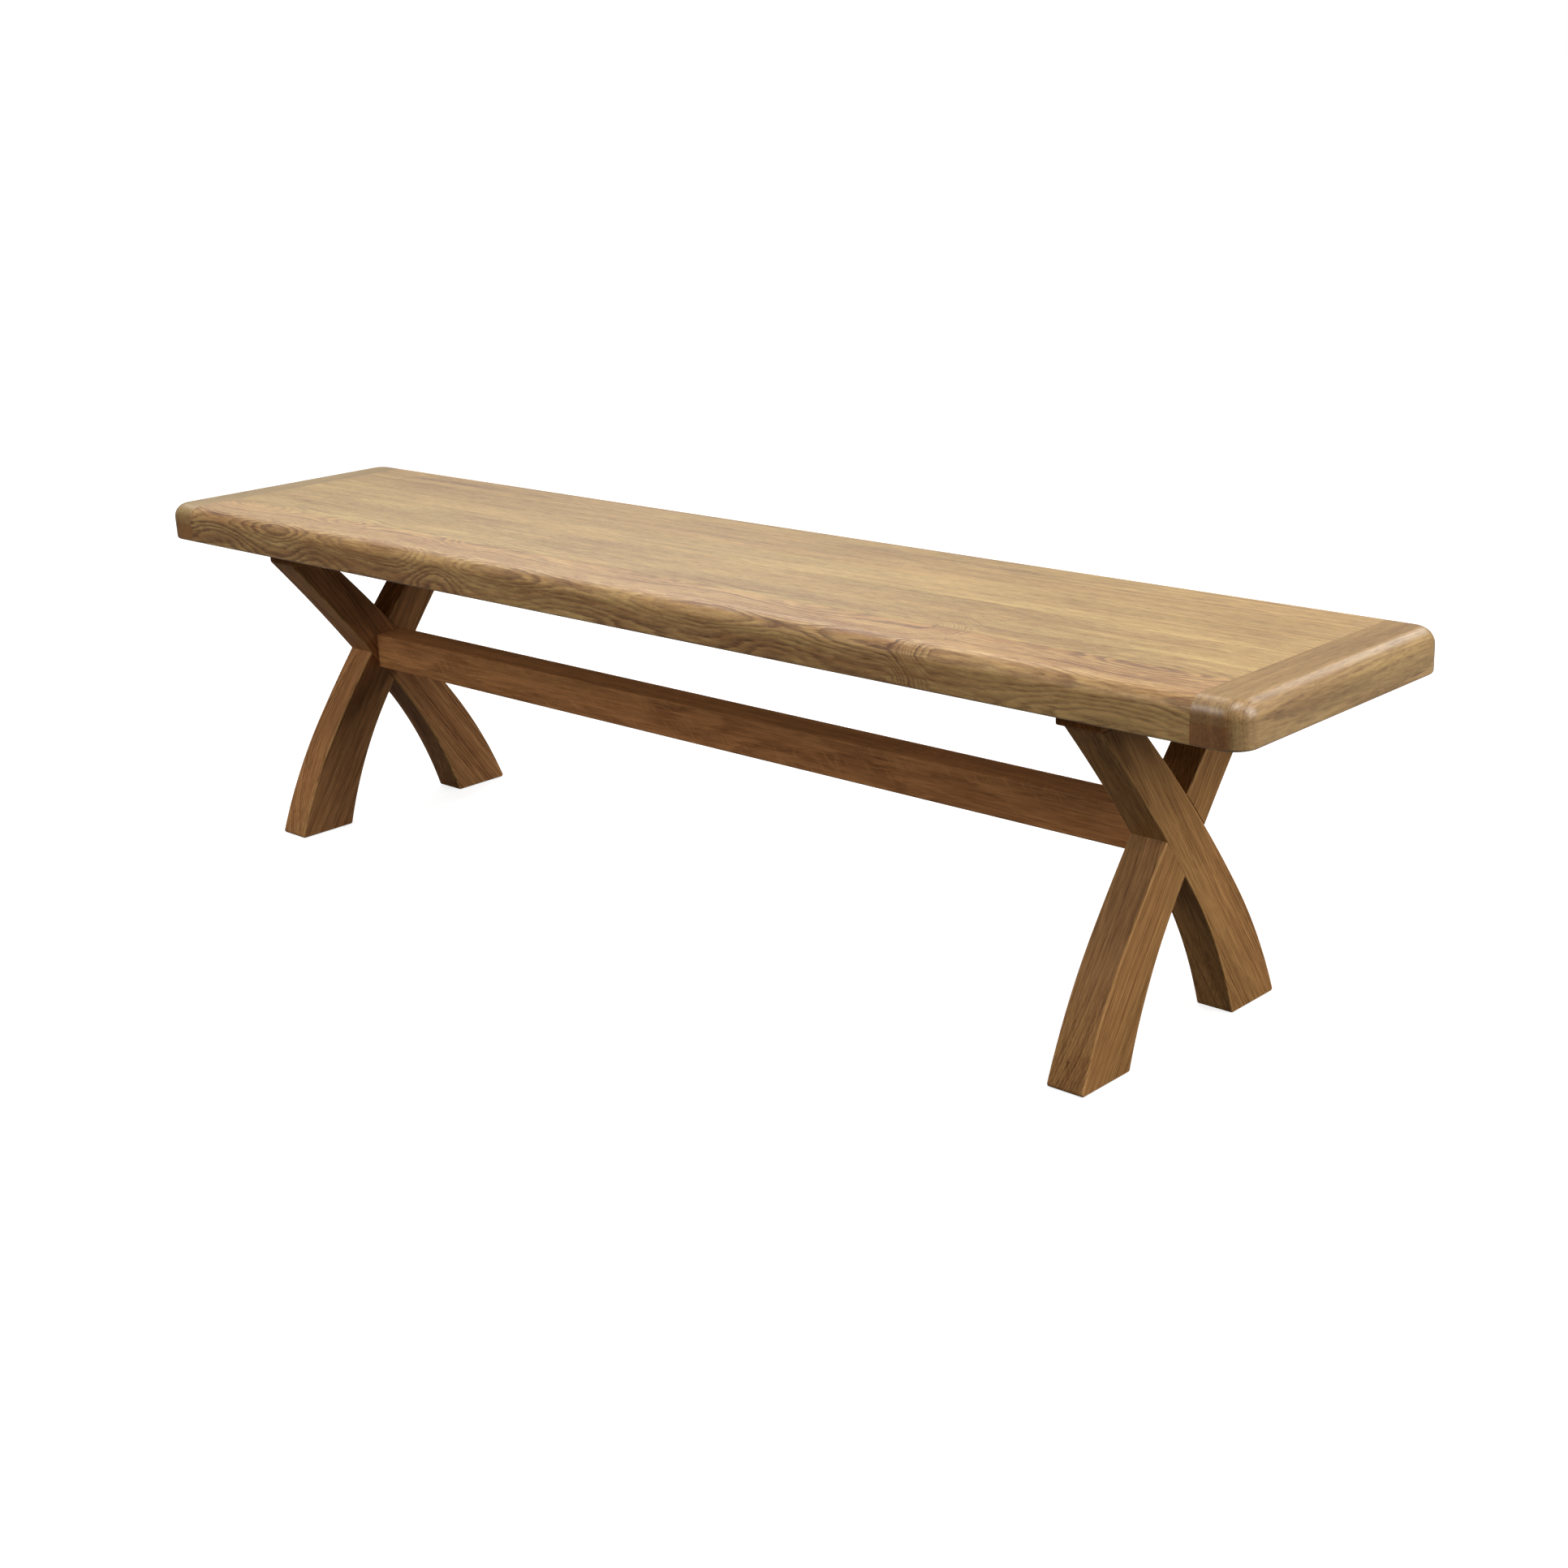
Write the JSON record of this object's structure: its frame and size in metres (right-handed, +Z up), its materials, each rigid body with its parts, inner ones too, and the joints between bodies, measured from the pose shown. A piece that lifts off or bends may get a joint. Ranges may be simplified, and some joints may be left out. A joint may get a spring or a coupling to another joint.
{
  "type": "dining bench",
  "caption": "Backless oak dining bench: a thick cleated seat with a rounded upper edge on crossed, curved and tapering leg frames tied by a stretcher.",
  "frame": {"origin": "on the floor, under the middle of the seat", "axes": "+X along the seat to the right-hand end, -Y towards the front, +Z up"},
  "size_m": [1.77, 0.376, 0.45],
  "materials": {
    "seat_boards": "satin oiled oak, honey coloured",
    "seat_cleats": "satin oiled oak, darker, grain along the cleat",
    "leg_frames": "satin oiled oak, brown",
    "tongues_and_dowels": "bare wood, matte",
    "screws": "zinc plated"
  },
  "bodies": {
    "root": {"seat_front_rail": "seat_boards", "seat_stave_1": "seat_boards", "seat_stave_2": "seat_boards", "seat_stave_3": "seat_boards", "seat_stave_4": "seat_boards", "seat_back_rail": "seat_boards", "left_cleat_upper": "seat_cleats", "left_cleat_lower": "seat_cleats", "right_cleat_upper": "seat_cleats", "right_cleat_lower": "seat_cleats", "left_cleat_tongue": "tongues_and_dowels", "right_cleat_tongue": "tongues_and_dowels", "left_bearer": "leg_frames", "right_bearer": "leg_frames", "left_leg_front_foot": "leg_frames", "left_leg_back_foot": "leg_frames", "right_leg_front_foot": "leg_frames", "right_leg_back_foot": "leg_frames", "stretcher": "leg_frames", "left_stretcher_dowel_upper": "tongues_and_dowels", "left_stretcher_dowel_lower": "tongues_and_dowels", "right_stretcher_dowel_upper": "tongues_and_dowels", "right_stretcher_dowel_lower": "tongues_and_dowels", "left_seat_screw_1": "screws", "left_seat_screw_2": "screws", "left_seat_screw_3": "screws", "left_seat_screw_4": "screws", "right_seat_screw_1": "screws", "right_seat_screw_2": "screws", "right_seat_screw_3": "screws", "right_seat_screw_4": "screws", "left_front_inner_leg_screw": "screws", "left_front_outer_leg_screw": "screws", "left_back_inner_leg_screw": "screws", "left_back_outer_leg_screw": "screws", "right_front_inner_leg_screw": "screws", "right_front_outer_leg_screw": "screws", "right_back_inner_leg_screw": "screws", "right_back_outer_leg_screw": "screws"}
  },
  "joints": []
}
